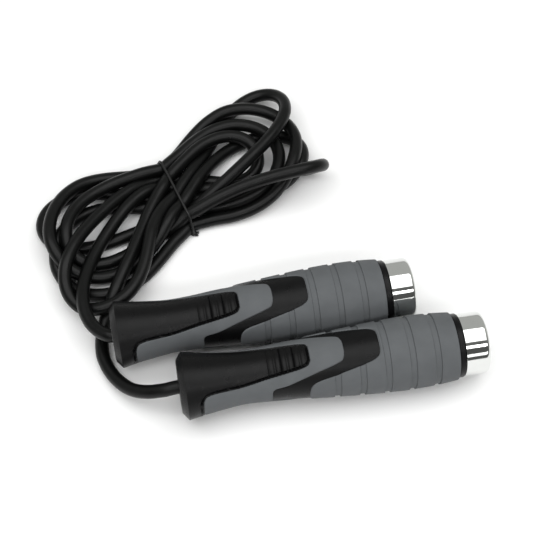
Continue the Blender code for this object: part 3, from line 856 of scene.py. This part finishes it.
def rounded(profile, radius, steps=5):
    """The profile with each inner corner as an arc, where there is room for it."""
    points = [Vector(p) for p in profile]
    made = [points[0]]
    for before, corner, after in zip(points, points[1:], points[2:]):
        into, out = (before - corner), (after - corner)
        room = min(radius, into.length / ARC_ROOM, out.length / ARC_ROOM)
        a, b = corner + into.normalized() * room, corner + out.normalized() * room
        for k in range(steps + 1):
            t = k / steps
            made.append(a * (1 - t) ** 2 + corner * (2 * t * (1 - t)) + b * t**2)
    made.append(points[-1])
    return np.array([tuple(p) for p in made])


def turned(name, profile, closed=False):
    """A plain turned mesh of a profile of (x, radius) points."""
    profile = np.asarray(profile)
    angle = np.linspace(-math.pi, math.pi, TURNED_SIDES, endpoint=False)
    x, radius, angle = np.broadcast_arrays(profile[:, :1], profile[:, 1:], angle[None, :])
    return ring_mesh(name, x, radius, angle, closed)


def stations(start, end):
    """Evenly spaced stations with extra ones at the grooves' edges."""
    even = list(np.arange(start, end, CELL))
    for k in range(GROOVE_COUNT):
        for side in (-1, 1):
            edge = GROOVE_FIRST + k * GROOVE_PITCH + side * GROOVE_WIDTH / 2
            if start < edge < end:
                even = [x for x in even if abs(x - edge) > STATION_GAP]
                even += [edge - GROOVE_EDGE, edge + GROOVE_EDGE]
    return np.array(sorted([*even, end]))


def core_mesh():
    surface = Surface(stations(0, SLEEVE_END))
    for level in (0, LIP_WIDTH, LIP_WIDTH + TRENCH_WIDTH):
        surface.snap(PANEL_LOOP, level)
    surface.snap(SIDE_LOOP, 0)
    surface.snap(WINDOW_LOOP, 0)
    surface.x = np.clip(surface.x, 0, SLEEVE_END)
    radius = grip_radius(surface.x) - core_drop(surface)
    inside = rounded(
        [
            (SLEEVE_END + HAIR, NECK_RADIUS),
            (CORE_END, NECK_RADIUS),
            (CORE_END, WEIGHT_BORE),
            (WEIGHT_SHOULDER, WEIGHT_BORE),
            (WEIGHT_SHOULDER, ROPE_CHAMBER),
            (BEARING_SHOULDER, ROPE_CHAMBER),
            (BEARING_SHOULDER, BEARING_BORE),
            (FLANGE_FACE, BEARING_BORE),
            (FLANGE_FACE, MOUTH_RADIUS),
            (-HAIR, GRIP_STATIONS[0][1] - HAIR),
        ],
        BORE_ROUND,
    )
    shape = (len(inside), SIDES)
    x = np.vstack([surface.x, np.broadcast_to(inside[:, :1], shape)])
    radius = np.vstack([radius, np.broadcast_to(inside[:, 1:], shape)])
    angle = np.vstack([surface.angle, np.broadcast_to(surface.angle[0], shape)])
    return ring_mesh("core", x, radius, angle, closed=True)


def overlay_mesh():
    surface = Surface(stations(OVERLAY_START, OVERLAY_END + 2 * CELL))
    surface.snap(PANEL_LOOP, 0)
    surface.snap(SIDE_LOOP, 0)
    depth = surface.overlay
    radius = grip_radius(surface.x) - edge_drop(np.maximum(depth, -GAP))
    return ring_mesh("thumb_overlay", surface.x, radius, surface.angle, keep=depth > 0)


def sleeve_mesh():
    surface = Surface(stations(SLEEVE_START, SLEEVE_END + CELL))
    surface.snap(WINDOW_LOOP, 0)
    depth = surface.sleeve
    drop = edge_drop(np.maximum(depth, -GAP)) + groove_drop(surface.x)
    radius = grip_radius(np.minimum(surface.x, SLEEVE_END)) - drop
    return ring_mesh("grip_sleeve", surface.x, radius, surface.angle, keep=depth > 0)


def cap_mesh():
    inner = CAP_RADIUS - CAP_WALL
    floor = CAP_END - 2 * CAP_WALL
    outside = [(CAP_START, inner), (CAP_START, CAP_RADIUS), (CAP_END, CAP_RADIUS), (CAP_END, HAIR)]
    skirt = rounded([*outside[:2], (CAP_START + CAP_SKIRT, CAP_RADIUS)], EDGE_BREAK)
    crown = rounded(outside[1:], CAP_FILLET, CROWN_STEPS)
    hollow = [(floor, HAIR), (floor, inner - CAP_WALL), (floor - CAP_WALL, inner)]
    return turned("end_cap", np.vstack([skirt, crown[1:], hollow]), closed=True)


def plug_mesh():
    """The cap's nylon plug, with a thread on its spigot."""
    flange, head = CAP_START + GAP, CAP_RADIUS - CAP_WALL - GAP
    spigot = np.linspace(PLUG_START + THREAD_START, flange - THREAD_END, THREAD_STATIONS)
    angle = np.linspace(-math.pi, math.pi, TURNED_SIDES, endpoint=False)
    wave = np.mod(spigot[:, None] / THREAD_PITCH - angle[None, :] / (2 * math.pi), 1)
    thread = PLUG_RADIUS - THREAD_DEPTH * np.abs(2 * wave - 1) ** THREAD_SHAPE
    start = np.array([(PLUG_START, HAIR), (PLUG_START, PLUG_RADIUS - PLUG_LEAD)])
    end = rounded(
        [
            (flange - PLUG_NECK, PLUG_RADIUS - THREAD_DEPTH),
            (flange, PLUG_RADIUS - THREAD_DEPTH),
            (flange, head),
            (flange + PLUG_HEAD, head),
            (flange + PLUG_HEAD, HAIR),
        ],
        SMALL_ROUND,
    )
    x = np.concatenate([start[:, 0], spigot, end[:, 0]])
    radius = [np.tile(start[:, 1:], TURNED_SIDES), thread, np.tile(end[:, 1:], TURNED_SIDES)]
    x, radius, angle = np.broadcast_arrays(x[:, None], np.vstack(radius), angle[None, :])
    return ring_mesh("cap_plug", x, radius, angle)


def collar_mesh():
    start, end, inner = COLLAR_START, CORE_END, NECK_RADIUS + GAP
    profile = [(start, inner), (start, COLLAR_RADIUS), (end, COLLAR_RADIUS), (end, inner)]
    return turned("collar_ring", rounded(profile, EDGE_BREAK), closed=True)


def retainer_mesh():
    """The black bush in the handle's mouth, dished round the rope."""
    start, end = FLANGE_FACE + RETAINER_RECESS, RETAINER_END
    profile = [
        (end, RETAINER_BORE),
        *((start + depth, radius) for depth, radius in RETAINER_DISH),
        (start, RETAINER_RADIUS),
        (end, RETAINER_RADIUS),
    ]
    return turned("bearing_retainer", rounded(profile, SMALL_ROUND), closed=True)


def foam_mesh(name, start, end, radius):
    """A foam disc with soft edges, dished where it is pressed."""
    flat = FOAM_FLAT * radius
    profile = [
        (start + FOAM_DISH, HAIR),
        (start + FOAM_DISH, flat),
        (start, flat + FOAM_SLOPE),
        (start, radius),
        (end, radius),
        (end, flat + FOAM_SLOPE),
        (end - FOAM_DISH, flat),
        (end - FOAM_DISH, HAIR),
    ]
    return turned(name, rounded(profile, BORE_ROUND))


def damper_mesh():
    return foam_mesh("weight_damper", DAMPER_START, DAMPER_END, DAMPER_RADIUS)


def pad_mesh():
    return foam_mesh("cap_pad", PAD_START, PAD_END, PAD_RADIUS)


# ---------------------------------------------------------------- materials


def make_material(
    name, colour, roughness, metallic=0.0, specular=0.5, grain=0.3 * MM, bump=0.0, mottle=0.06, wear=0.05
):
    """A finish with fine grain in its relief, and slow changes in its colour and roughness."""
    made = bpy.data.materials.new(name)
    made.use_nodes = True
    nodes, links = made.node_tree.nodes, made.node_tree.links
    shader = nodes["Principled BSDF"]
    shader.inputs["Metallic"].default_value = metallic
    shader.inputs["Specular IOR Level"].default_value = specular
    place = nodes.new("ShaderNodeTexCoord")

    def noise(size, detail):
        node = nodes.new("ShaderNodeTexNoise")
        node.inputs["Scale"].default_value = 1 / size
        node.inputs["Detail"].default_value = detail
        links.new(place.outputs["Object"], node.inputs["Vector"])
        return node.outputs["Fac"]

    def spread(middle, reach, size, detail):
        """The middle value, plus or minus up to reach, as the noise goes."""
        node = nodes.new("ShaderNodeMapRange")
        node.inputs["From Min"].default_value = NOISE_LOW
        node.inputs["From Max"].default_value = NOISE_HIGH
        node.inputs["To Min"].default_value = middle - reach
        node.inputs["To Max"].default_value = middle + reach
        links.new(noise(size, detail), node.inputs["Value"])
        return node.outputs["Result"]

    shade = nodes.new("ShaderNodeVectorMath")
    shade.operation = "SCALE"
    shade.inputs[0].default_value = colour
    links.new(spread(1, mottle, MOTTLE_SIZE, 4), shade.inputs["Scale"])
    links.new(shade.outputs["Vector"], shader.inputs["Base Color"])
    links.new(spread(roughness, wear, WEAR_SIZE, 6), shader.inputs["Roughness"])

    if bump:
        relief = nodes.new("ShaderNodeBump")
        relief.inputs["Strength"].default_value = 1.0
        relief.inputs["Distance"].default_value = bump
        links.new(noise(grain, 3), relief.inputs["Height"])
        links.new(relief.outputs["Normal"], shader.inputs["Normal"])
    return made


def make_materials():
    return {
        "black_plastic": make_material(
            "black_plastic",
            (0.003, 0.003, 0.0032),
            0.31,
            specular=0.15,
            grain=0.4 * MM,
            bump=0.1 * MM,
            mottle=0.12,
            wear=0.06,
        ),
        "grey_grip": make_material(
            "grey_grip", (0.098, 0.104, 0.109), 0.7, specular=0.25, grain=0.35 * MM, bump=0.03 * MM
        ),
        "chrome": make_material(
            "chrome", (0.74, 0.75, 0.735), 0.06, 1.0, grain=9 * MM, bump=0.004 * MM, mottle=0.02, wear=0.02
        ),
        "steel": make_material("steel", (0.55, 0.55, 0.56), 0.3, 1.0, grain=0.4 * MM, bump=0.01 * MM),
        "nylon": make_material("nylon", (0.74, 0.72, 0.64), 0.5, grain=0.5 * MM, bump=0.02 * MM),
        "foam": make_material("foam", (0.03, 0.03, 0.03), 0.9, grain=0.5 * MM, bump=0.12 * MM, mottle=0.2),
        "rope": make_material(
            "rope", (0.003, 0.0032, 0.0031), 0.34, specular=0.19, grain=0.5 * MM, bump=0.02 * MM, wear=0.07
        ),
        "tie": make_material(
            "tie", (0.008, 0.008, 0.008), 0.42, specular=0.4, grain=0.4 * MM, bump=0.02 * MM
        ),
    }


# ---------------------------------------------------------------- assembly

VISUAL_PIECES = (
    ("core", "handle", "black_plastic", core_mesh),
    ("thumb_overlay", "handle", "grey_grip", overlay_mesh),
    ("grip_sleeve", "handle", "grey_grip", sleeve_mesh),
    ("collar_ring", "handle", "black_plastic", collar_mesh),
    ("bearing_retainer", "handle", "black_plastic", retainer_mesh),
    ("end_cap", "cap", "chrome", cap_mesh),
    ("cap_plug", "cap", "nylon", plug_mesh),
    ("weight_damper", "handle", "foam", damper_mesh),
    ("cap_pad", "cap_travel", "foam", pad_mesh),
)
CARRIED_OVER = {
    "outer_race": "steel",
    "inner_race": "steel",
    "ball": "steel",
    "ball_cage": "nylon",
    "rope_washer": "steel",
    "rope_ferrule": "steel",
    "weight": "steel",
}


def make_handles(looks):
    for node, body, slot, build in VISUAL_PIECES:
        mesh = build()
        mesh.materials.append(looks[slot])
        for side in HANDLES:
            piece = bpy.data.objects.new(f"{node}_{side}_look", mesh)
            bpy.context.scene.collection.objects.link(piece)
            piece.matrix_world = handle_frame(side)
            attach(piece, f"{body}_{side}")
            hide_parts(f"{node}_{side}")


def finish_carried_over(looks):
    """The CAD nodes that stay in view take their real finish."""
    for name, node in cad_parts.items():
        family = next((f for f in sorted(CARRIED_OVER, key=len)[::-1] if name.startswith(f)), None)
        if family and not node.hide_render:
            node.data.materials.clear()
            node.data.materials.append(looks[CARRIED_OVER[family]])


def main():
    make_camera()
    looks = make_materials()
    rope, tie = make_rope()
    rope.data.materials.append(looks["rope"])
    tie.data.materials.append(looks["tie"])
    make_handles(looks)
    finish_carried_over(looks)
    make_studio()


main()
